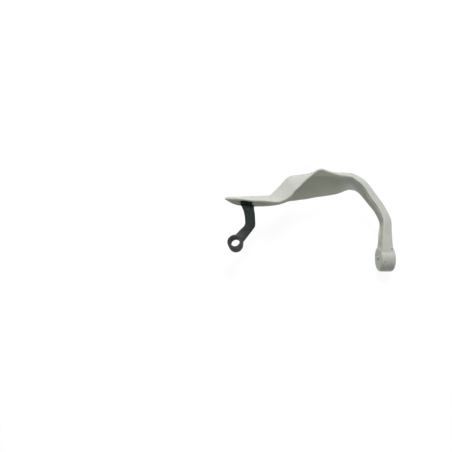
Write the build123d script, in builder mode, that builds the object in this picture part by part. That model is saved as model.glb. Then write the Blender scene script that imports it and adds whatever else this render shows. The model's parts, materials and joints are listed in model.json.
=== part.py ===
"""Motorcycle hand guard: a moulded shell that runs from a hooded shield to a bar-end paddle, and its bracket.

Frame: origin at the middle of the bracket's eye, X outboard along the handlebar, Y forward, Z up.
All sizes are in millimetres.
"""

import os
from math import cos, radians, sin

from build123d import *

# Where the guard meets the motorcycle
eye_bore = 14.0
eye_lean = 8.0  # degrees that the eye's axis leans inboard
bar_end_x = 222.0  # inner face of the paddle, outboard of the eye
bar_axis_y = -16.0  # handlebar axis, behind the eye
bar_axis_z = -34.0  # handlebar axis, below the eye
bar_bolt_hole = 6.5

# Moulded shell
wall = 3.5  # wall of the hooded shield
section_pitch = 9.0  # between the shell's sections, along its crease
edge_crown = 1.0  # rounding of the free edges
beak_x = 18.0  # middle of the beak's mounting pad
beak_y = 76.8  # leading crease of the beak
beak_z = 2.0
front_x = 113.0  # middle of the shield
front_y = 113.3  # leading crease of the shield
front_z = 6.0

# Paddle at the bar end
paddle_radius = 19.5
paddle_width = 22.5
paddle_rim = 4.0  # rounding of the paddle's rim
paddle_step = 1.3  # outer side of the arm, inboard of the paddle's outer face
sleeve_diameter = 10.0

# Bracket foot, its seat on the beak's lower lip, and their screws
seat_lean = 28.0  # slope of the seat, in degrees
seat_x = 16.9  # middle of the seat
seat_y = 63.9
seat_z = 0.2
pad_length = 22.0  # the lip is thickened under the foot over this length
foot_length = 17.5
foot_width = 9.0
foot_thickness = 4.5
foot_rim = 1.2
screw_pitch = 9.5
screw_shank = 4.0
screw_clearance = 4.4
screw_tapped = 4.1
screw_depth = 4.0  # how far the screws reach into the foot
lip_grip = 2.5  # lip between the foot and the screw heads
head_diameter = 7.0
head_height = 2.2
head_pocket = 7.6
key_size = 2.5
key_depth = 1.3

# Bracket bar and eye
bar_root = 59.6  # where the bar meets the foot
bar_thickness = 8.5
bar_lift = 0.65  # middle of the bar, above the eye's middle
bar_rim = 1.5
knee_round = 7.0
eye_diameter = 23.0
eye_height = 16.0
eye_rim = 1.2


class Station:
    """One upright cross-section of the shell, with lengths in units of the guard's drawing.

    crease is its foremost outer point. The hood edge lies behind and above that point, and the hem behind
    and below it. swing turns the section in plan: 0 opens straight back and 90 opens inboard. belly rounds
    the lower wall outward, or folds it inward where it is negative. fill closes the hollow: 0 is a plain
    wall and 1 is solid.
    """

    def __init__(self, crease, swing, hood, hem, belly, fill):
        self.values = (*crease, swing, *hood, *hem, belly, fill)
        back = Vector(-sin(radians(swing)), -cos(radians(swing)), 0)
        self.crease = Vector(*crease)
        self.plane = Plane(self.crease, x_dir=back, z_dir=Vector(0, 0, 1).cross(back))
        self.hood = Vector(hood[0], -hood[1]) * unit
        self.hem = Vector(hem[0], hem[1]) * unit
        self.belly = belly * unit
        self.fill = fill
        self.skin = min(wall, self.hood.length / 3)
        self.crown = min(edge_crown, self.skin / 3)

    def curves(self):
        """Control points of the outer curve, hood to hem, and of the inner curve, hem to hood."""
        crease = Vector(0, 0)
        across_hood = Vector(-self.hood.Y, self.hood.X).normalized() * self.skin
        across_hem = Vector(self.hem.Y, -self.hem.X).normalized() * self.skin
        fold = self.hem * 0.5 - across_hem.normalized() * self.belly
        inner_hood = self.hood + across_hood
        inner_hem = self.hem + across_hem
        bisector = (self.hood.normalized() + self.hem.normalized()).normalized()
        half_angle = radians(self.hood.get_angle(self.hem) / 2)
        inner_crease = bisector * (self.skin / sin(half_angle))
        inner_fold = fold + across_hem
        middle = (inner_hood + inner_hem) * 0.5
        inner_crease += (middle - inner_crease) * self.fill
        inner_fold += (middle - inner_fold) * self.fill**2
        outer = [self.hood, *[crease] * 3, fold, fold, self.hem]
        inner = [inner_hem, inner_fold, inner_fold, *[inner_crease] * 5, inner_hood]
        return outer, inner


def slopes(places, values):
    """Slopes of a smooth curve through the values that never overshoots them."""
    rises = [(values[i + 1] - values[i]) / (places[i + 1] - places[i]) for i in range(len(values) - 1)]
    middle = [2 * p * q / (p + q) if p * q > 0 else 0 for p, q in zip(rises, rises[1:])]
    return [rises[0], *middle, rises[-1]]


def fair(drawn, pitch):
    """Stations at an even pitch along the crease, blended from the drawn ones, so that the loft runs true."""
    places = [0]
    for last, station in zip(drawn, drawn[1:]):
        places.append(places[-1] + (station.crease - last.crease).length)
    columns = list(zip(*[station.values for station in drawn]))
    tilts = [slopes(places, column) for column in columns]
    count = round(places[-1] / pitch)
    blended = []
    for step in range(count + 1):
        place = places[-1] * step / count
        i = max(k for k in range(len(places) - 1) if places[k] <= place)
        run = places[i + 1] - places[i]
        t = (place - places[i]) / run
        row = []
        for column, tilt in zip(columns, tilts):
            start = column[i] * (1 + 2 * t) * (1 - t) ** 2 + tilt[i] * run * t * (1 - t) ** 2
            end = column[i + 1] * (3 - 2 * t) * t**2 - tilt[i + 1] * run * (1 - t) * t**2
            row.append(start + end)
        blended.append(Station(row[0:3], row[3], row[4:6], row[6:8], row[8], row[9]))
    return blended


def beak(along, forward, up):
    """Point given from the middle of the beak's crease."""
    return beak_x + along * unit, beak_y + forward * unit, beak_z + up * unit


def front(along, forward, up):
    """Point given from the middle of the shield's crease."""
    return front_x + along * unit, front_y + forward * unit, front_z + up * unit


def arm(out, forward, up):
    """Point given from the arm's outer side, at the handlebar axis."""
    side = bar_end_x + paddle_width - paddle_step
    return side + out * unit, bar_axis_y + forward * unit, bar_axis_z + up * unit


unit = bar_end_x / 222  # one millimetre on the guard's drawing
drawn_stations = [
    Station(beak(-34.5, -7.3, 8), 0, (2.5, 1.2), (2.5, 1.2), 0.2, 0.6),
    Station(beak(-27, -4.7, 5.5), 0, (5.8, 5), (7, 4), 0.5, 0.2),
    Station(beak(-11, -1.5, 0.5), 0, (12.7, 13), (12.3, 8), 0.5, 0),
    Station(beak(10, 0.5, -1.5), 0, (14.3, 16.5), (15.2, 8), 0.5, 0),
    Station(beak(23, 0.9, -1.5), -2, (15.6, 18.2), (15, 9), 0, 0),
    Station(front(-61, -34.6, -4.1), -10, (19.5, 19.5), (14.7, 11.5), -0.5, 0.05),
    Station(front(-50, -23.2, -3.4), -17, (30.5, 21), (22.3, 17.5), -2, 0.08),
    Station(front(-40, -11.4, -2.5), -20, (34, 23), (28.8, 23), -4, 0.1),
    Station(front(-30, -1.6, -1.8), -19, (33.5, 24.6), (35.2, 28), -5.5, 0.12),
    Station(front(-17, -0.8, -0.9), -13, (26.4, 26.3), (32.3, 31.5), -6, 0.12),
    Station(front(-1, -0.5, 0), -6, (17, 28), (30, 33.5), -6, 0.12),
    Station(front(16, 0.2, 0), 0, (7.3, 29.5), (27.8, 33), -6, 0.15),
    Station(front(34, 1, 0), 0, (9, 19.5), (26.6, 31.2), -4.5, 0.2),
    Station(front(50, 1.5, 0), 0, (9.2, 8.4), (25.3, 27.5), -2, 0.35),
    Station(front(66, 1.6, -1.5), 2, (9.2, 3.4), (21.2, 21), 1.5, 0.65),
    Station(arm(-50.5, 126.8, 36.2), 20, (10.7, 2.6), (19, 17.7), 4, 0.8),
    Station(arm(-38.5, 119, 34), 43, (11, 3), (16, 16.8), 5, 0.85),
    Station(arm(-20.5, 95.5, 28.5), 57, (12.5, 4), (12.5, 17.5), 6, 0.85),
    Station(arm(-9, 78, 25), 67, (12.3, 4), (11.5, 17), 6, 0.85),
    Station(arm(-0.3, 53, 23.5), 84, (14, 3.5), (14, 16), 6, 0.85),
    Station(arm(-0.6, 33, 22), 90, (15.8, 2), (17, 15.5), 5, 0.92),
    Station(arm(-0.3, 19, 20), 90, (17.3, 1), (17.6, 21), 4, 1),
    Station(arm(0.4, 1, 18.3), 90, (19.5, -0.8), (17, 29), 3, 1),
]
stations = fair(drawn_stations, section_pitch)
pad_stations = [s for s in stations if abs(s.crease.X - seat_x) < pad_length]
foot_plane = Plane((seat_x, seat_y, seat_z)).rotated((seat_lean, 0, 0))
head_plane = foot_plane.offset(-lip_grip)
eye_plane = Plane.XY.rotated((0, -eye_lean, 0))
bar_outline = [
    (beak_x - 8.6 * unit, bar_root),
    (beak_x - 5.2 * unit, bar_root - 8 * unit),
    (beak_x - 3.4 * unit, bar_root - 18 * unit),
    (beak_x - 3 * unit, bar_root - 29 * unit),
    (beak_x - 4.5 * unit, bar_root - 33.5 * unit),
    (0, eye_diameter * 0.55),
    (-4 * unit, 0),
    (4 * unit, -4 * unit),
    (eye_diameter * 0.57, 3 * unit),
    (beak_x + 11.6 * unit, bar_root - 33 * unit),
    (beak_x + 10.5 * unit, bar_root),
]

# Paddle that clamps to the bar end
with BuildPart() as paddle:
    with BuildSketch(Plane.YZ.offset(bar_end_x)):
        with Locations((bar_axis_y, bar_axis_z)):
            Circle(paddle_radius)
    extrude(amount=paddle_width)
    fillet(paddle.faces().filter_by(Axis.X).edges(), paddle_rim)

# Pad that backs the beak for the bracket's foot
with BuildPart() as pad:
    for station in pad_stations:
        outer, inner = station.curves()
        middle = [(outer[i] + inner[-1 - i]) * 0.5 for i in (0, 1, 2, 3, -3, -2, -1)]
        with BuildSketch(station.plane):
            with BuildLine():
                Bezier(*middle)
                Line(middle[-1], middle[0])
            make_face()
    loft()
    with Locations(foot_plane):
        Box(
            pad_length,
            foot_width * 4,
            foot_width * 4,
            align=(Align.CENTER, Align.CENTER, Align.MAX),
            mode=Mode.INTERSECT,
        )

# Moulded guard
with BuildPart() as guard_shell:
    for station in stations:
        outer, inner = station.curves()
        with BuildSketch(station.plane):
            with BuildLine():
                Bezier(*outer)
                SagittaArc(outer[-1], inner[0], station.crown)
                Bezier(*inner)
                SagittaArc(inner[-1], outer[0], station.crown)
            make_face()
    loft()
    add(paddle.part)
    add(pad.part)
    with BuildSketch(Plane.YZ.offset(bar_end_x)):
        with Locations((bar_axis_y, bar_axis_z)):
            Circle(sleeve_diameter / 2)
    extrude(amount=paddle_width, mode=Mode.SUBTRACT)
    with BuildSketch(foot_plane):
        RectangleRounded(foot_length, foot_width, foot_width / 4)
    extrude(amount=foot_thickness, mode=Mode.SUBTRACT)
    with BuildSketch(foot_plane):
        with GridLocations(screw_pitch, 0, 2, 1):
            Circle(screw_clearance / 2)
    extrude(amount=-lip_grip, mode=Mode.SUBTRACT)
    with BuildSketch(head_plane):
        with GridLocations(screw_pitch, 0, 2, 1):
            Circle(head_pocket / 2)
    extrude(amount=-foot_width, mode=Mode.SUBTRACT)
guard_shell.part.label = "guard_shell"

# Steel sleeve that takes the bar-end bolt's clamping load
with BuildPart() as bar_end_sleeve:
    with BuildSketch(Plane.YZ.offset(bar_end_x)):
        with Locations((bar_axis_y, bar_axis_z)):
            Circle(sleeve_diameter / 2)
            Circle(bar_bolt_hole / 2, mode=Mode.SUBTRACT)
    extrude(amount=paddle_width)
bar_end_sleeve.part.label = "bar_end_sleeve"

# Bracket bar: foot end, knee and the run to the eye
with BuildPart() as bar:
    with BuildSketch(Plane.XY.offset(bar_lift - bar_thickness / 2)):
        with BuildLine():
            Polyline(*bar_outline, close=True)
        make_face()
        fillet(vertices().filter_by_position(Axis.Y, eye_diameter, bar_root - 1), knee_round)
    extrude(amount=bar_thickness)
    fillet(bar.faces().filter_by(Axis.Z).edges(), bar_rim)

# Bracket foot
with BuildPart() as foot:
    with BuildSketch(foot_plane):
        RectangleRounded(foot_length, foot_width, foot_width / 4)
    extrude(amount=foot_thickness)
    fillet(foot.faces().sort_by(Axis.Z)[-1].edges(), foot_rim)

# Bracket eye
with BuildPart() as eye:
    with BuildSketch(eye_plane.offset(-eye_height / 2)):
        Circle(eye_diameter / 2)
    extrude(amount=eye_height)
    fillet(eye.edges().filter_by(GeomType.CIRCLE), eye_rim)

with BuildPart() as bracket:
    add(bar.part)
    add(foot.part)
    add(eye.part)
    with BuildSketch(eye_plane):
        Circle(eye_bore / 2)
    extrude(amount=eye_height, both=True, mode=Mode.SUBTRACT)
    with BuildSketch(foot_plane):
        with GridLocations(screw_pitch, 0, 2, 1):
            Circle(screw_tapped / 2)
    extrude(amount=screw_depth + foot_rim / 4, mode=Mode.SUBTRACT)
bracket.part.label = "bracket"

# Button-head screws, sunk in pockets under the beak's lip
with BuildPart() as bracket_screws:
    with BuildSketch(head_plane):
        with GridLocations(screw_pitch, 0, 2, 1):
            Circle(screw_shank / 2)
    extrude(amount=lip_grip + screw_depth)
    with BuildSketch(head_plane):
        with GridLocations(screw_pitch, 0, 2, 1):
            Circle(head_diameter / 2)
    extrude(amount=-head_height)
    fillet(bracket_screws.faces().sort_by(Axis.Z)[:2].edges(), head_height / 2)
    with BuildSketch(head_plane.offset(-head_height)):
        with GridLocations(screw_pitch, 0, 2, 1):
            RegularPolygon(key_size / 2, 6, major_radius=False)
    extrude(amount=key_depth, mode=Mode.SUBTRACT)
bracket_screws.part.label = "bracket_screws"

os.makedirs("parts", exist_ok=True)
for piece in (guard_shell, bracket, bracket_screws, bar_end_sleeve):
    print(piece.part.label, piece.part.is_valid, round(piece.part.volume), len(piece.part.solids()))
    export_step(piece.part, f"parts/{piece.part.label}.step")
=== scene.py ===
"""Dresses a motorcycle hand guard for a studio picture: its shell, bracket, screws and sleeve."""

import json
import math

import bpy
from bpy.props import FloatProperty, FloatVectorProperty, IntProperty, PointerProperty
from bpy.types import Operator, Panel, PropertyGroup
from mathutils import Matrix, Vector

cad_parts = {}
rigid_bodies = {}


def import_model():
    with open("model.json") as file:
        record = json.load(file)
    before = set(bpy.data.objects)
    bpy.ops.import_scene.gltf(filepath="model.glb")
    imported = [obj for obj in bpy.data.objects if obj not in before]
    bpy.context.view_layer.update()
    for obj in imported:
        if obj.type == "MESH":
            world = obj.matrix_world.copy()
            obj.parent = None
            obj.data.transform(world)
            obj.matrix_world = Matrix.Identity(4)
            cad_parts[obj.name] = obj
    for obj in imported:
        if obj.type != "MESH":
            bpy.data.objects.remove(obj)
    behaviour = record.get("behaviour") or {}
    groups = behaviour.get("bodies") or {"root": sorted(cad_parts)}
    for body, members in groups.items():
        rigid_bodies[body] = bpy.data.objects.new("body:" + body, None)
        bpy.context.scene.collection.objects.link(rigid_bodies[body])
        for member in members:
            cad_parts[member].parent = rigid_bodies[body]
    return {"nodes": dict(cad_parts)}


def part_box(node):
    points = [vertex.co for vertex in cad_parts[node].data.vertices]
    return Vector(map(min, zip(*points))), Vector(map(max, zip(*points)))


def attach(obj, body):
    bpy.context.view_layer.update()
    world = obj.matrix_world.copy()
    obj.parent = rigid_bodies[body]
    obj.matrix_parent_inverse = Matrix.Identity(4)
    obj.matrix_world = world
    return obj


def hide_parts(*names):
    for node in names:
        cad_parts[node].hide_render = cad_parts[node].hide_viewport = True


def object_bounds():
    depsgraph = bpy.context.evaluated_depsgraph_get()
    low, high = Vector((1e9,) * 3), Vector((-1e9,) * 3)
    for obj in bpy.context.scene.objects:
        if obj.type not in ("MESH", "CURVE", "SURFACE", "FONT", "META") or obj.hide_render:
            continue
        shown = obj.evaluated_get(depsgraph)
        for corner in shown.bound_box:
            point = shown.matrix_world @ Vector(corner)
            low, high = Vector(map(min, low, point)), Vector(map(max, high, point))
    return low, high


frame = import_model()
CAD_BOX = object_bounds()

bl_info = {
    "name": "Hand guard",
    "version": (1, 0, 0),
    "blender": (4, 5, 0),
    "location": "View3D > Sidebar > Hand guard",
    "description": "Gives a motorcycle hand guard its finishes, studio and camera",
    "category": "Object",
}

# Lengths in metres, but for the sensor's millimetres
WELD_DISTANCE = 1e-6
FLOOR_GAP = 0.001
SENSOR_WIDTH = 36

# How far each smoothing round moves a point towards its neighbours
SMOOTHING = 0.5

# Middle part of a noise, which is spread over the whole of a range
NOISE_MIDDLE = (0.35, 0.65)

# How ragged the patches of the shell and of the bracket's coat are
SHELL_DETAIL = 3.0
COAT_DETAIL = 4.0

# Blender's own factor on the scale of a wave pattern
WAVE_FACTOR = 20

# Dark specks on the moulded plastic: place and radius in metres
SPECKS = (
    ((0.22686, -0.02513, -0.01679), 0.0012),
    ((0.2388, -0.0052, -0.0150), 0.0015),
    ((0.22017, 0.05952, -0.00553), 0.0010),
)

# A speck is darkest within the first share of its radius, and ends at the second
SPECK_EDGE = (0.5, 1.3)
SPECK_STRENGTH = 0.75


class ShellFinish(PropertyGroup):
    """Moulded plastic of the guard."""

    colour: FloatVectorProperty(
        name="Colour",
        description="Grey of the moulded plastic",
        subtype="COLOR",
        size=3,
        min=0,
        max=1,
        default=(0.600, 0.606, 0.560),
    )
    shade: FloatVectorProperty(
        name="Shade",
        description="Grey of the duller patches",
        subtype="COLOR",
        size=3,
        min=0,
        max=1,
        default=(0.555, 0.565, 0.510),
    )
    speck: FloatVectorProperty(
        name="Speck",
        description="Colour of the dirt specks",
        subtype="COLOR",
        size=3,
        min=0,
        max=1,
        default=(0.10, 0.10, 0.085),
    )
    grain: FloatProperty(
        name="Grain",
        description="Width of one grain of the moulded texture",
        unit="LENGTH",
        precision=5,
        default=0.0011,
    )
    grain_depth: FloatProperty(
        name="Grain depth",
        description="Depth of the grain",
        unit="LENGTH",
        precision=5,
        default=0.0002,
    )
    grain_strength: FloatProperty(
        name="Grain strength",
        description="How much the grain turns the light",
        subtype="FACTOR",
        min=0,
        max=1,
        default=0.12,
    )
    gloss_size: FloatProperty(
        name="Gloss size",
        description="Width of one patch of even gloss",
        unit="LENGTH",
        precision=4,
        default=0.012,
    )
    roughness: FloatVectorProperty(
        name="Roughness",
        description="Roughness of the shiniest and of the dullest patches",
        size=2,
        min=0,
        max=1,
        default=(0.46, 0.58),
    )
    specular: FloatProperty(
        name="Specular",
        description="Strength of the reflections",
        subtype="FACTOR",
        min=0,
        max=1,
        default=0.4,
    )
    patch_size: FloatProperty(
        name="Patch size",
        description="Width of one duller patch",
        unit="LENGTH",
        precision=4,
        default=0.035,
    )
    glow: FloatProperty(
        name="Glow",
        description="Share of the light that goes into the plastic and spreads there",
        subtype="FACTOR",
        min=0,
        max=1,
        default=0.55,
    )
    glow_depth: FloatProperty(
        name="Glow depth",
        description="How far the light spreads in the plastic",
        unit="LENGTH",
        precision=4,
        default=0.008,
    )
    glow_radius: FloatVectorProperty(
        name="Glow radius",
        description="Shares of that depth for red, green and blue light",
        size=3,
        default=(1.0, 0.96, 0.85),
    )
    crease_angle: FloatProperty(
        name="Crease angle",
        description="Edges sharper than this stay crisp",
        subtype="ANGLE",
        default=math.radians(32),
    )
    mesh_size: FloatProperty(
        name="Mesh size",
        description="Side of one face of the even mesh",
        unit="LENGTH",
        precision=5,
        default=0.0005,
    )
    edge_rounds: IntProperty(
        name="Edge rounds",
        description="Smoothing rounds that soften every edge",
        default=4,
    )
    beak_heights: FloatVectorProperty(
        name="Beak heights",
        description="Heights between which the trim of the beak grows to its full share",
        unit="LENGTH",
        size=2,
        precision=4,
        default=(0.006, 0.014),
    )
    beak_span: FloatVectorProperty(
        name="Beak span",
        description="Sideways places between which the trim of the beak fades out",
        unit="LENGTH",
        size=2,
        precision=4,
        default=(0.009, 0.026),
    )
    beak_tip: FloatVectorProperty(
        name="Beak tip",
        description="Sideways places between which the trim of the beak grows from its tip",
        unit="LENGTH",
        size=2,
        precision=4,
        default=(-0.0155, -0.002),
    )
    beak_trim: FloatProperty(
        name="Beak trim",
        description="How far the beak's upper edge is drawn forward",
        unit="LENGTH",
        precision=5,
        default=0.0034,
    )
    peak_heights: FloatVectorProperty(
        name="Peak heights",
        description="Heights between which the peak's shift grows to its full share",
        unit="LENGTH",
        size=2,
        precision=4,
        default=(0.010, 0.030),
    )
    peak_span: FloatVectorProperty(
        name="Peak span",
        description="Sideways places where the peak's shift starts, is full, begins to fade and ends",
        unit="LENGTH",
        size=4,
        precision=4,
        default=(0.092, 0.110, 0.135, 0.165),
    )
    peak_shift: FloatProperty(
        name="Peak shift",
        description="How far the peak is moved inboard",
        unit="LENGTH",
        precision=5,
        default=0.0022,
    )
    neck_forward: FloatProperty(
        name="Neck forward",
        description="Middle of the neck, forward of the bar's axis",
        unit="LENGTH",
        precision=4,
        default=0.018,
    )
    neck_reach: FloatProperty(
        name="Neck reach",
        description="How far the neck's blend reaches to either side",
        unit="LENGTH",
        precision=4,
        default=0.013,
    )
    neck_swell: FloatProperty(
        name="Neck swell",
        description="Plastic that makes up for what the smoothing takes off the neck",
        unit="LENGTH",
        precision=5,
        default=0.0006,
    )
    neck_rounds: IntProperty(
        name="Neck rounds",
        description="Smoothing rounds that blend the arm into the paddle",
        default=110,
    )
    kept_faces: FloatProperty(
        name="Kept faces",
        description="Share of the even mesh's faces that stay",
        subtype="FACTOR",
        min=0,
        max=1,
        default=0.3,
    )


class BracketFinish(PropertyGroup):
    """Black coat of the bracket."""

    colour: FloatVectorProperty(
        name="Colour",
        description="Black of the coat",
        subtype="COLOR",
        size=3,
        min=0,
        max=1,
        default=(0.011, 0.019, 0.016),
    )
    # Grey of the patches near the eye: partly real wear, partly painted light on the eye's ring
    worn_and_lit: FloatVectorProperty(
        name="Worn",
        description="Grey of the rubbed patches",
        subtype="COLOR",
        size=3,
        min=0,
        max=1,
        default=(0.078, 0.079, 0.079),
    )
    grain: FloatProperty(
        name="Grain",
        description="Width of one grain of the coat",
        unit="LENGTH",
        precision=5,
        default=0.0008,
    )
    grain_depth: FloatProperty(
        name="Grain depth",
        description="Depth of the grain",
        unit="LENGTH",
        precision=5,
        default=0.0002,
    )
    grain_strength: FloatProperty(
        name="Grain strength",
        description="How much the grain turns the light",
        subtype="FACTOR",
        min=0,
        max=1,
        default=0.25,
    )
    gloss_size: FloatProperty(
        name="Gloss size",
        description="Width of one patch of even gloss",
        unit="LENGTH",
        precision=4,
        default=0.005,
    )
    roughness: FloatVectorProperty(
        name="Roughness",
        description="Roughness of the shiniest and of the dullest patches",
        size=2,
        min=0,
        max=1,
        default=(0.55, 0.70),
    )
    specular: FloatProperty(
        name="Specular",
        description="Strength of the reflections",
        subtype="FACTOR",
        min=0,
        max=1,
        default=0.13,
    )
    patch_size: FloatProperty(
        name="Patch size",
        description="Width of one rubbed patch",
        unit="LENGTH",
        precision=4,
        default=0.009,
    )
    patch_rub: FloatVectorProperty(
        name="Patch rub",
        description="Least and greatest rub of the patches beside the eye",
        size=2,
        min=0,
        max=1,
        default=(0.35, 1.0),
    )
    # The grey fades away from the eye, so the coat goes near black towards the foot: partly wear, partly
    # painted shade under the hood
    wear_and_light_reach: FloatVectorProperty(
        name="Worn reach",
        description="Distances from the eye's middle between which the rub fades",
        unit="LENGTH",
        size=2,
        precision=4,
        default=(0.012, 0.034),
    )
    wear_and_light_far: FloatProperty(
        name="Worn far",
        description="Share of the rub that stays far from the eye",
        subtype="FACTOR",
        min=0,
        max=1,
        default=0.08,
    )
    crease_angle: FloatProperty(
        name="Crease angle",
        description="Edges sharper than this stay crisp",
        subtype="ANGLE",
        default=math.radians(30),
    )
    mesh_size: FloatProperty(
        name="Mesh size",
        description="Side of one face of the even mesh",
        unit="LENGTH",
        precision=5,
        default=0.0004,
    )
    edge_rounds: IntProperty(
        name="Edge rounds",
        description="Smoothing rounds that soften every edge",
        default=6,
    )
    eye_blend: FloatProperty(
        name="Eye blend",
        description="Middle of the blend, from the eye's axis",
        unit="LENGTH",
        precision=4,
        default=0.0145,
    )
    eye_reach: FloatProperty(
        name="Eye reach",
        description="How far the eye's blend reaches to either side",
        unit="LENGTH",
        precision=4,
        default=0.0055,
    )
    eye_rounds: IntProperty(
        name="Eye rounds",
        description="Smoothing rounds that blend the bar into the eye",
        default=120,
    )
    rim_width: FloatVectorProperty(
        name="Rim width",
        description="Distances from the eye's axis between which the stretch of its rim grows",
        unit="LENGTH",
        size=2,
        precision=4,
        default=(0.0085, 0.0105),
    )
    rim_back: FloatVectorProperty(
        name="Rim back",
        description="Distances behind the eye's axis between which the stretch of its rim grows",
        unit="LENGTH",
        size=2,
        precision=4,
        default=(0.003, 0.011),
    )
    eye_stretch: FloatProperty(
        name="Eye stretch",
        description="How far the eye's rim is drawn back behind its bore",
        unit="LENGTH",
        precision=5,
        default=0.0014,
    )
    knee_place: FloatVectorProperty(
        name="Knee place",
        description="Outer corner of the bar's knee, outboard and forward of the eye",
        unit="LENGTH",
        size=2,
        precision=4,
        default=(0.028, 0.028),
    )
    knee_reach: FloatProperty(
        name="Knee reach",
        description="How far the knee's rounding reaches from its corner",
        unit="LENGTH",
        precision=4,
        default=0.010,
    )
    knee_rounds: IntProperty(
        name="Knee rounds",
        description="Smoothing rounds that round the knee",
        default=80,
    )
    bar_sides: FloatVectorProperty(
        name="Bar sides",
        description="Sideways places between which the bar's widening grows to its full share",
        unit="LENGTH",
        size=2,
        precision=4,
        default=(0.018, 0.027),
    )
    bar_end: FloatVectorProperty(
        name="Bar end",
        description="Forward places between which the bar's widening fades before the foot",
        unit="LENGTH",
        size=2,
        precision=4,
        default=(0.045, 0.052),
    )
    bar_widen: FloatProperty(
        name="Bar widen",
        description="How far the bar's outboard side is drawn out",
        unit="LENGTH",
        precision=5,
        default=0.0008,
    )
    kept_faces: FloatProperty(
        name="Kept faces",
        description="Share of the even mesh's faces that stay",
        subtype="FACTOR",
        min=0,
        max=1,
        default=0.3,
    )


class FastenerFinish(PropertyGroup):
    """Metal of the screws and the sleeve."""

    screw_colour: FloatVectorProperty(
        name="Screw colour",
        description="Black zinc of the screws",
        subtype="COLOR",
        size=3,
        min=0,
        max=1,
        default=(0.018, 0.019, 0.020),
    )
    screw_cloud: FloatProperty(
        name="Screw cloud",
        description="Width of one cloud on the screws",
        unit="LENGTH",
        precision=4,
        default=0.003,
    )
    screw_pits: FloatProperty(
        name="Screw pits",
        description="Depth of the pits in the screws' plating",
        unit="LENGTH",
        precision=5,
        default=0.0001,
    )
    screw_roughness: FloatVectorProperty(
        name="Screw roughness",
        description="Roughness of the screws' shiniest and dullest patches",
        size=2,
        min=0,
        max=1,
        default=(0.48, 0.62),
    )
    screw_bright: FloatProperty(
        name="Screw bright",
        description="How many times brighter the screws' pale clouds are",
        default=1.6,
    )
    sleeve_colour: FloatVectorProperty(
        name="Sleeve colour",
        description="Zinc of the sleeve",
        subtype="COLOR",
        size=3,
        min=0,
        max=1,
        default=(0.62, 0.61, 0.56),
    )
    sleeve_cloud: FloatProperty(
        name="Sleeve cloud",
        description="Width of one cloud on the sleeve",
        unit="LENGTH",
        precision=4,
        default=0.004,
    )
    sleeve_roughness: FloatVectorProperty(
        name="Sleeve roughness",
        description="Roughness of the sleeve's shiniest and dullest patches",
        size=2,
        min=0,
        max=1,
        default=(0.28, 0.42),
    )
    sleeve_dull: FloatProperty(
        name="Sleeve dull",
        description="Brightness of the sleeve's dull clouds",
        subtype="FACTOR",
        min=0,
        max=1,
        default=0.75,
    )
    turning_pitch: FloatProperty(
        name="Turning pitch",
        description="Distance between the lathe's lines on the sleeve's end",
        unit="LENGTH",
        precision=5,
        default=0.0003,
    )
    turning_depth: FloatProperty(
        name="Turning depth",
        description="Depth of the lathe's lines",
        unit="LENGTH",
        precision=6,
        default=0.00005,
    )
    crease_angle: FloatProperty(
        name="Crease angle",
        description="Edges sharper than this stay crisp",
        subtype="ANGLE",
        default=math.radians(30),
    )


class StudioSettings(PropertyGroup):
    """Floor, lamp, room and camera."""

    floor_size: FloatProperty(
        name="Floor size",
        description="Side of the square floor",
        unit="LENGTH",
        default=4.0,
    )
    floor_colour: FloatVectorProperty(
        name="Floor colour",
        description="Colour of the light that the floor throws back on the guard",
        subtype="COLOR",
        size=3,
        min=0,
        max=1,
        default=(0.76, 0.84, 0.76),
    )
    floor_seen: FloatProperty(
        name="Floor seen",
        description="Brightness of the floor's surface as the camera sees it",
        subtype="FACTOR",
        min=0,
        max=1,
        default=0.12,
    )
    floor_glow: FloatProperty(
        name="Floor glow",
        description="Light that the floor gives off to the camera, so that it looks white",
        default=0.93,
    )
    floor_roughness: FloatProperty(
        name="Floor roughness",
        description="Roughness of the floor",
        subtype="FACTOR",
        min=0,
        max=1,
        default=0.9,
    )
    lamp_place: FloatVectorProperty(
        name="Lamp place",
        description="Where the soft box hangs",
        subtype="XYZ",
        unit="LENGTH",
        size=3,
        precision=3,
        default=(0.17, 0.64, 1.00),
    )
    lamp_tilt: FloatProperty(
        name="Lamp tilt",
        description="Turn of the soft box from straight down",
        subtype="ANGLE",
        default=math.radians(-30.5),
    )
    lamp_size: FloatProperty(
        name="Lamp size",
        description="Side of the soft box above the guard",
        unit="LENGTH",
        default=0.5,
    )
    lamp_power: FloatProperty(
        name="Lamp power",
        description="Power of the soft box",
        unit="POWER",
        default=11.2,
    )
    sky_lean: FloatVectorProperty(
        name="Sky lean",
        description="Direction that the room's light is brightest from",
        subtype="DIRECTION",
        size=3,
        default=(0.0, 0.6, 0.8),
    )
    sky_low: FloatProperty(
        name="Sky low",
        description="Strength of the room's light from the sides and from behind that direction",
        default=0.18,
    )
    sky_high: FloatProperty(
        name="Sky high",
        description="Strength of the room's light from that direction",
        default=0.33,
    )
    camera_place: FloatVectorProperty(
        name="Camera place",
        description="Where the camera stands",
        subtype="XYZ",
        unit="LENGTH",
        size=3,
        precision=5,
        default=(-0.01425, -0.20751, 0.72117),
    )
    camera_tilt: FloatProperty(
        name="Camera tilt",
        description="Turn of the camera from straight down",
        subtype="ANGLE",
        default=math.radians(18),
    )
    camera_lens: FloatProperty(
        name="Camera lens",
        description="Focal length in millimetres on a 36 mm square",
        default=39.823,
    )


def new_material(name):
    """Makes an empty material with one shader, and returns it with the shader node."""
    material = bpy.data.materials.new(name)
    material.use_nodes = True
    shader = material.node_tree.nodes["Principled BSDF"]
    return material, shader


def add_node(material, kind, **values):
    """Adds a node and sets its options, and its inputs where a value is given under an input's name."""
    node = material.node_tree.nodes.new(kind)
    for key, value in values.items():
        if key in node.inputs:
            node.inputs[key].default_value = value
        else:
            setattr(node, key, value)
    return node


def join(material, source, target):
    """Links an output socket to an input socket."""
    material.node_tree.links.new(source, target)


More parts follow.
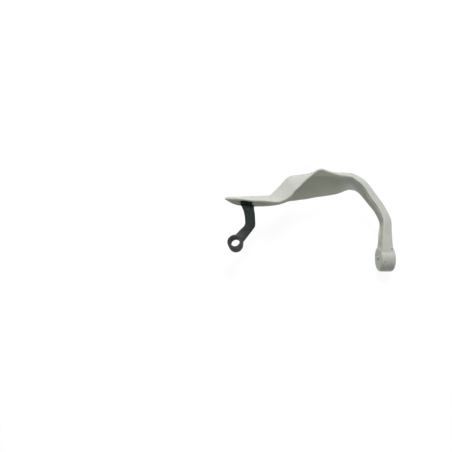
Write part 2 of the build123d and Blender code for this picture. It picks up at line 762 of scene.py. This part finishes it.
def add_noise(material, coordinates, cell, detail=2.0):
    """Adds a noise whose blotches are about one cell wide, in metres."""
    noise = add_node(material, "ShaderNodeTexNoise", Scale=1 / cell, Detail=detail)
    join(material, coordinates.outputs["Object"], noise.inputs["Vector"])
    return noise.outputs["Fac"]


def add_range(material, source, low, high, bottom=NOISE_MIDDLE[0], top=NOISE_MIDDLE[1]):
    """Spreads a span of a value, which is a noise's middle if none is given, from low to high."""
    spread = add_node(material, "ShaderNodeMapRange")
    spread.inputs["From Min"].default_value = bottom
    spread.inputs["From Max"].default_value = top
    spread.inputs["To Min"].default_value = low
    spread.inputs["To Max"].default_value = high
    join(material, source, spread.inputs["Value"])
    return spread.outputs["Result"]


def add_mix(material, factor, first, second):
    """Mixes two colours. Each is a colour or an output socket."""
    mix = add_node(material, "ShaderNodeMix", data_type="RGBA")
    join(material, factor, mix.inputs["Factor"])
    for socket, colour in ((mix.inputs[6], first), (mix.inputs[7], second)):
        if isinstance(colour, bpy.types.NodeSocket):
            join(material, colour, socket)
        else:
            socket.default_value = (*colour, 1.0)
    return mix.outputs[2]


def add_bump(material, shader, height, depth, strength):
    """Gives the shader a bump of that depth in metres."""
    bump = add_node(material, "ShaderNodeBump", Strength=strength, Distance=depth)
    join(material, height, bump.inputs["Height"])
    join(material, bump.outputs["Normal"], shader.inputs["Normal"])


def add_surface(material, shader, coordinates, finish):
    """Gives a coat its uneven gloss and its fine grain."""
    gloss = add_noise(material, coordinates, finish.gloss_size)
    join(material, add_range(material, gloss, *finish.roughness), shader.inputs["Roughness"])
    grain = add_noise(material, coordinates, finish.grain)
    add_bump(material, shader, grain, finish.grain_depth, finish.grain_strength)
    shader.inputs["Specular IOR Level"].default_value = finish.specular


def shell_plastic(finish):
    """Satin grey plastic with a fine moulded grain, duller patches and a few small dark specks."""
    material, shader = new_material("shell_satin_plastic")
    coordinates = add_node(material, "ShaderNodeTexCoord")
    blotches = add_noise(material, coordinates, finish.patch_size, SHELL_DETAIL)
    patches = add_range(material, blotches, 0.0, 1.0)
    colour = add_mix(material, patches, finish.colour, finish.shade)
    darkened = None
    # Small dark specks, darkest in their middle and fading out at their edge
    for place, radius in SPECKS:
        away = add_node(material, "ShaderNodeVectorMath", operation="DISTANCE")
        join(material, coordinates.outputs["Object"], away.inputs[0])
        away.inputs[1].default_value = place
        core, edge = (radius * part for part in SPECK_EDGE)
        spot = add_range(material, away.outputs["Value"], SPECK_STRENGTH, 0.0, core, edge)
        if darkened is None:
            darkened = spot
        else:
            both = add_node(material, "ShaderNodeMath", operation="MAXIMUM")
            join(material, darkened, both.inputs[0])
            join(material, spot, both.inputs[1])
            darkened = both.outputs["Value"]
    colour = add_mix(material, darkened, colour, finish.speck)
    join(material, colour, shader.inputs["Base Color"])
    add_surface(material, shader, coordinates, finish)
    shader.inputs["Subsurface Weight"].default_value = finish.glow
    shader.inputs["Subsurface Radius"].default_value = finish.glow_radius
    shader.inputs["Subsurface Scale"].default_value = finish.glow_depth
    return material


def bracket_coat(finish):
    """Black coat with a fine grain that turns grey in patches towards the eye: partly real rub wear,
    partly painted light on the eye's ring. Towards the foot the coat stays near black as painted shade
    under the hood.
    """
    material, shader = new_material("bracket_black_coat")
    coordinates = add_node(material, "ShaderNodeTexCoord")
    blotches = add_noise(material, coordinates, finish.patch_size, COAT_DETAIL)
    patches = add_range(material, blotches, *finish.patch_rub)
    # Painted light and shade mixed with wear: lighter grey on the eye's ring, near black towards the
    # foot under the hood
    reach = add_node(material, "ShaderNodeVectorMath", operation="LENGTH")
    join(material, coordinates.outputs["Object"], reach.inputs[0])
    wear_and_light_near_eye = add_range(material, reach.outputs["Value"], 1.0, finish.wear_and_light_far, *finish.wear_and_light_reach)
    rubbed_and_lit = add_node(material, "ShaderNodeMath", operation="MULTIPLY")
    join(material, patches, rubbed_and_lit.inputs[0])
    join(material, wear_and_light_near_eye, rubbed_and_lit.inputs[1])
    colour = add_mix(material, rubbed_and_lit.outputs["Value"], finish.colour, finish.worn_and_lit)
    join(material, colour, shader.inputs["Base Color"])
    add_surface(material, shader, coordinates, finish)
    return material


def screw_zinc(finish):
    """Black zinc with small cloudy patches."""
    material, shader = new_material("screw_black_zinc")
    coordinates = add_node(material, "ShaderNodeTexCoord")
    clouds = add_range(material, add_noise(material, coordinates, finish.screw_cloud), 0.0, 1.0)
    bright = [channel * finish.screw_bright for channel in finish.screw_colour]
    colour = add_mix(material, clouds, finish.screw_colour, bright)
    join(material, colour, shader.inputs["Base Color"])
    gloss = add_noise(material, coordinates, finish.screw_cloud / 2)
    join(material, add_range(material, gloss, *finish.screw_roughness), shader.inputs["Roughness"])
    pits = add_noise(material, coordinates, finish.screw_cloud / 5)
    add_bump(material, shader, pits, finish.screw_pits, strength=0.2)
    shader.inputs["Metallic"].default_value = 0.85
    return material


def sleeve_zinc(finish):
    """Zinc-plated steel with the lathe's rings on it."""
    material, shader = new_material("sleeve_turned_zinc")
    coordinates = add_node(material, "ShaderNodeTexCoord")
    low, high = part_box("bar_end_sleeve")
    centre = (low + high) / 2
    centring = add_node(material, "ShaderNodeMapping", vector_type="POINT")
    centring.inputs["Location"].default_value = -centre
    join(material, coordinates.outputs["Object"], centring.inputs["Vector"])
    rings = add_node(material, "ShaderNodeTexWave", wave_type="RINGS", rings_direction="X")
    rings.inputs["Scale"].default_value = 1 / (finish.turning_pitch * WAVE_FACTOR)
    rings.inputs["Distortion"].default_value = 0.4
    join(material, centring.outputs["Vector"], rings.inputs["Vector"])
    clouds = add_range(material, add_noise(material, coordinates, finish.sleeve_cloud), 0.0, 1.0)
    dull = [channel * finish.sleeve_dull for channel in finish.sleeve_colour]
    colour = add_mix(material, clouds, finish.sleeve_colour, dull)
    join(material, colour, shader.inputs["Base Color"])
    gloss = add_noise(material, coordinates, finish.sleeve_cloud / 2)
    join(material, add_range(material, gloss, *finish.sleeve_roughness), shader.inputs["Roughness"])
    add_bump(material, shader, rings.outputs["Fac"], finish.turning_depth, strength=0.4)
    shader.inputs["Metallic"].default_value = 1.0
    return material


def seen_rays(owner):
    """Gives 1 for rays that show a surface, straight or mirrored, and 0 for those that only light."""
    rays = add_node(owner, "ShaderNodeLightPath")
    total = rays.outputs["Is Camera Ray"]
    for name in ("Is Glossy Ray", "Is Transmission Ray"):
        either = add_node(owner, "ShaderNodeMath", operation="MAXIMUM")
        join(owner, total, either.inputs[0])
        join(owner, rays.outputs[name], either.inputs[1])
        total = either.outputs["Value"]
    return total


def apply_modifier(piece, kind, **values):
    """Adds a modifier to the active piece, sets its values and applies it."""
    bpy.ops.object.modifier_add(type=kind)
    modifier = piece.modifiers[-1]
    for key, value in values.items():
        setattr(modifier, key, value)
    bpy.ops.object.modifier_apply(modifier=modifier.name)


def share(value, start, end):
    """Gives 0 up to the start, 1 from the end on, and a straight rise between."""
    return min(1.0, max(0.0, (value - start) / (end - start)))


def plateau(value, start, full, fade, end):
    """Gives 0 outside the start and the end, 1 from full to fade, and straight slopes between."""
    return share(value, start, full) * share(-value, -end, -fade)


def weigh(piece, name, weight):
    """Makes a vertex group whose weights come from a function of the place."""
    group = piece.vertex_groups.new(name=name)
    for vertex in piece.data.vertices:
        amount = weight(vertex.co)
        if amount > 0:
            group.add([vertex.index], amount, "REPLACE")


def soften(piece, name, weight, rounds):
    """Smooths a piece where a weight says so."""
    weigh(piece, name, weight)
    apply_modifier(piece, "SMOOTH", factor=SMOOTHING, iterations=rounds, vertex_group=name)


def draw_out(piece, name, weight, axis, distance):
    """Moves a piece's points along an axis where a weight says so."""
    weigh(piece, name, weight)
    apply_modifier(
        piece, "DISPLACE", direction=axis, mid_level=0.0, strength=distance, vertex_group=name
    )


def drop_bubbles(piece):
    """Deletes every bit of mesh that isn't joined to the piece's outer skin."""
    lowest = min(piece.data.vertices, key=lambda vertex: vertex.co.z).index
    bpy.ops.object.mode_set(mode="EDIT")
    bpy.ops.mesh.select_all(action="DESELECT")
    bpy.ops.object.mode_set(mode="OBJECT")
    piece.data.vertices[lowest].select = True
    bpy.ops.object.mode_set(mode="EDIT")
    bpy.ops.mesh.select_mode(type="VERT")
    bpy.ops.mesh.select_linked()
    bpy.ops.mesh.select_all(action="INVERT")
    bpy.ops.mesh.delete(type="VERT")
    bpy.ops.object.mode_set(mode="OBJECT")


def even_mesh(piece, size, rounds):
    """Gives a piece an even fine mesh, with its edges as soft as a mould leaves them."""
    apply_modifier(piece, "REMESH", mode="VOXEL", voxel_size=size)
    drop_bubbles(piece)
    apply_modifier(piece, "SMOOTH", factor=SMOOTHING, iterations=rounds)


def thin_out(piece, kept, crease_angle):
    """Takes out the small faces that gentle places don't need, and shades the rest smooth."""
    piece.vertex_groups.clear()
    apply_modifier(piece, "DECIMATE", ratio=kept)
    bpy.ops.object.shade_smooth_by_angle(angle=crease_angle)


def welded_copy(node_name, piece_name, crease_angle, material):
    """Stands a welded, smooth-shaded copy in for a CAD node, in its own finish."""
    piece = bpy.data.objects.new(piece_name, frame["nodes"][node_name].data.copy())
    piece.data.name = piece_name
    bpy.context.scene.collection.objects.link(piece)
    bpy.ops.object.select_all(action="DESELECT")
    piece.select_set(True)
    bpy.context.view_layer.objects.active = piece
    bpy.ops.object.mode_set(mode="EDIT")
    bpy.ops.mesh.select_all(action="SELECT")
    bpy.ops.mesh.customdata_custom_splitnormals_clear()
    bpy.ops.mesh.remove_doubles(threshold=WELD_DISTANCE)
    bpy.ops.object.mode_set(mode="OBJECT")
    bpy.ops.object.shade_smooth_by_angle(angle=crease_angle)
    piece.data.materials.clear()
    piece.data.materials.append(material)
    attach(piece, "root")
    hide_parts(node_name)
    return piece


class HANDGUARD_OT_shell(Operator):
    """Dress the moulded shell in satin grey plastic"""

    bl_idname = "handguard.shell"
    bl_label = "Shell"

    def execute(self, context):
        finish = context.scene.handguard_shell
        plastic = shell_plastic(finish)
        piece = welded_copy("guard_shell", "shell_moulding", finish.crease_angle, plastic)
        even_mesh(piece, finish.mesh_size, finish.edge_rounds)
        self.trim_beak(piece, finish)
        self.shift_peak(piece, finish)
        self.blend_neck(piece, finish)
        thin_out(piece, finish.kept_faces, finish.crease_angle)
        return {"FINISHED"}

    def trim_beak(self, piece, finish):
        """Draws the beak's upper edge forward near its tip."""
        low, high = finish.beak_heights
        near, far = finish.beak_span
        tip, full = finish.beak_tip

        def weight(place):
            return plateau(place.x, tip, full, near, far) * share(place.z, low, high)

        draw_out(piece, "beak", weight, "Y", finish.beak_trim)

    def shift_peak(self, piece, finish):
        """Moves the hood's peak a little inboard."""
        low, high = finish.peak_heights

        def weight(place):
            return plateau(place.x, *finish.peak_span) * share(place.z, low, high)

        draw_out(piece, "peak", weight, "X", -finish.peak_shift)

    def blend_neck(self, piece, finish):
        """Rounds the corner where the arm runs into the paddle."""
        low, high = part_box("bar_end_sleeve")
        middle = (low + high) / 2
        side = low.x - finish.neck_reach
        forward = middle.y + finish.neck_forward

        def weight(place):
            if place.x < side:
                return 0.0
            return share(finish.neck_reach - abs(place.y - forward), 0.0, finish.neck_reach / 2)

        soften(piece, "neck", weight, finish.neck_rounds)
        apply_modifier(piece, "DISPLACE", mid_level=0.0, strength=finish.neck_swell, vertex_group="neck")


class HANDGUARD_OT_bracket(Operator):
    """Dress the bracket in its black coat"""

    bl_idname = "handguard.bracket"
    bl_label = "Bracket"

    def execute(self, context):
        finish = context.scene.handguard_bracket
        coat = bracket_coat(finish)
        piece = welded_copy("bracket", "bracket_coated", finish.crease_angle, coat)
        even_mesh(piece, finish.mesh_size, finish.edge_rounds)
        self.blend_eye(piece, finish)
        self.round_knee(piece, finish)
        thin_out(piece, finish.kept_faces, finish.crease_angle)
        return {"FINISHED"}

    def blend_eye(self, piece, finish):
        """Rounds the bar's corners at the eye, and draws the rim back behind the bore."""
        middle, reach = finish.eye_blend, finish.eye_reach

        def ring(place):
            away = math.hypot(place.x, place.y)
            near = share(reach - abs(away - middle), 0.0, reach / 2)
            return near * share(place.y + place.x / 2, 0.0, reach)

        def rim(place):
            away = math.hypot(place.x, place.y)
            return share(away, *finish.rim_width) * share(-place.y, *finish.rim_back)

        soften(piece, "eye", ring, finish.eye_rounds)
        draw_out(piece, "rim", rim, "Y", -finish.eye_stretch)

    def round_knee(self, piece, finish):
        """Rounds the knee's outer corner, and widens the bar a little on that side."""
        side, forward = finish.knee_place
        reach = finish.knee_reach
        near, far = finish.bar_sides
        fade, end = finish.bar_end

        def corner(place):
            away = math.hypot(place.x - side, place.y - forward)
            return share(reach - away, 0.0, reach / 2)

        def outboard(place):
            return share(place.x, near, far) * share(-place.y, -end, -fade)

        soften(piece, "knee", corner, finish.knee_rounds)
        draw_out(piece, "bar", outboard, "X", finish.bar_widen)


class HANDGUARD_OT_fasteners(Operator):
    """Dress the bracket's screws and the bar-end sleeve in their plating"""

    bl_idname = "handguard.fasteners"
    bl_label = "Fasteners"

    def execute(self, context):
        finish = context.scene.handguard_fasteners
        angle = finish.crease_angle
        welded_copy("bracket_screws", "screws_plated", angle, screw_zinc(finish))
        welded_copy("bar_end_sleeve", "sleeve_plated", angle, sleeve_zinc(finish))
        return {"FINISHED"}


class HANDGUARD_OT_stage(Operator):
    """Set up the floor, the lamp, the room's light and the camera"""

    bl_idname = "handguard.stage"
    bl_label = "Stage"

    def execute(self, context):
        studio = context.scene.handguard_studio
        self.lay_floor(studio)
        self.hang_lamp(studio)
        self.light_world(context.scene, studio)
        self.place_camera(context.scene, studio)
        context.scene.view_settings.view_transform = "Standard"
        return {"FINISHED"}

    def lay_floor(self, studio):
        """Lays a pale floor just below the guard. It looks white, and keeps the guard's shadow."""
        bpy.ops.object.select_all(action="DESELECT")
        height = CAD_BOX[0][2] - FLOOR_GAP
        bpy.ops.mesh.primitive_plane_add(size=studio.floor_size, location=(0, 0, height))
        floor = bpy.context.object
        floor.name = "floor"
        bpy.ops.object.transform_apply(location=True, rotation=False, scale=False)
        material, shader = new_material("floor_pale")
        shader.inputs["Base Color"].default_value = (*studio.floor_colour, 1.0)
        shader.inputs["Roughness"].default_value = studio.floor_roughness
        shader.inputs["Specular IOR Level"].default_value = 0.1
        shown = add_node(material, "ShaderNodeBsdfPrincipled", Roughness=studio.floor_roughness)
        shown.inputs["Base Color"].default_value = (*[studio.floor_seen] * 3, 1.0)
        shown.inputs["Specular IOR Level"].default_value = 0.0
        shown.inputs["Emission Color"].default_value = (1.0, 1.0, 1.0, 1.0)
        shown.inputs["Emission Strength"].default_value = studio.floor_glow
        choice = add_node(material, "ShaderNodeMixShader")
        join(material, seen_rays(material), choice.inputs["Fac"])
        join(material, shader.outputs["BSDF"], choice.inputs[1])
        join(material, shown.outputs["BSDF"], choice.inputs[2])
        output = material.node_tree.nodes["Material Output"]
        join(material, choice.outputs["Shader"], output.inputs["Surface"])
        floor.data.materials.append(material)

    def hang_lamp(self, studio):
        """Hangs a soft box above the guard and well in front of it."""
        bpy.ops.object.light_add(type="AREA", location=studio.lamp_place)
        lamp = bpy.context.object
        lamp.name = "soft_box"
        lamp.data.shape = "SQUARE"
        lamp.data.size = studio.lamp_size
        lamp.data.energy = studio.lamp_power
        lamp.rotation_euler = (studio.lamp_tilt, 0, 0)

    def light_world(self, scene, studio):
        """Fills the room with light that is strongest from one direction, and shows white behind it."""
        world = bpy.data.worlds.new("studio_room")
        world.use_nodes = True
        background = world.node_tree.nodes["Background"]
        background.inputs["Color"].default_value = (1.0, 1.0, 1.0, 1.0)
        direction = add_node(world, "ShaderNodeTexCoord")
        height = add_node(world, "ShaderNodeVectorMath", operation="DOT_PRODUCT")
        join(world, direction.outputs["Generated"], height.inputs[0])
        height.inputs[1].default_value = studio.sky_lean
        sky = add_range(world, height.outputs["Value"], studio.sky_low, studio.sky_high, 0.0, 1.0)
        strength = add_node(world, "ShaderNodeMix", data_type="FLOAT")
        join(world, seen_rays(world), strength.inputs["Factor"])
        join(world, sky, strength.inputs[2])
        strength.inputs[3].default_value = 1.0
        join(world, strength.outputs[0], background.inputs["Strength"])
        scene.world = world

    def place_camera(self, scene, studio):
        """Stands the camera behind and above the guard."""
        bpy.ops.object.camera_add(location=studio.camera_place, rotation=(studio.camera_tilt, 0, 0))
        camera = bpy.context.object
        camera.name = "camera"
        camera.data.sensor_width = SENSOR_WIDTH
        camera.data.lens = studio.camera_lens
        scene.camera = camera


class HANDGUARD_PT_pieces(Panel):
    """Buttons for the guard's pieces and its studio"""

    bl_idname = "HANDGUARD_PT_pieces"
    bl_label = "Hand guard"
    bl_space_type = "VIEW_3D"
    bl_region_type = "UI"
    bl_category = "Hand guard"

    def draw(self, context):
        column = self.layout.column()
        for operator in OPERATORS:
            column.operator(operator.bl_idname)


GROUPS = {
    "handguard_shell": ShellFinish,
    "handguard_bracket": BracketFinish,
    "handguard_fasteners": FastenerFinish,
    "handguard_studio": StudioSettings,
}
OPERATORS = (HANDGUARD_OT_shell, HANDGUARD_OT_bracket, HANDGUARD_OT_fasteners, HANDGUARD_OT_stage)


def register():
    for name, group in GROUPS.items():
        bpy.utils.register_class(group)
        setattr(bpy.types.Scene, name, PointerProperty(type=group))
    for operator in OPERATORS:
        bpy.utils.register_class(operator)
    bpy.utils.register_class(HANDGUARD_PT_pieces)


def unregister():
    bpy.utils.unregister_class(HANDGUARD_PT_pieces)
    for operator in reversed(OPERATORS):
        bpy.utils.unregister_class(operator)
    for name, group in reversed(GROUPS.items()):
        delattr(bpy.types.Scene, name)
        bpy.utils.unregister_class(group)


def main():
    register()
    bpy.ops.handguard.shell()
    bpy.ops.handguard.bracket()
    bpy.ops.handguard.fasteners()
    bpy.ops.handguard.stage()


if __name__ == "__main__":
    main()
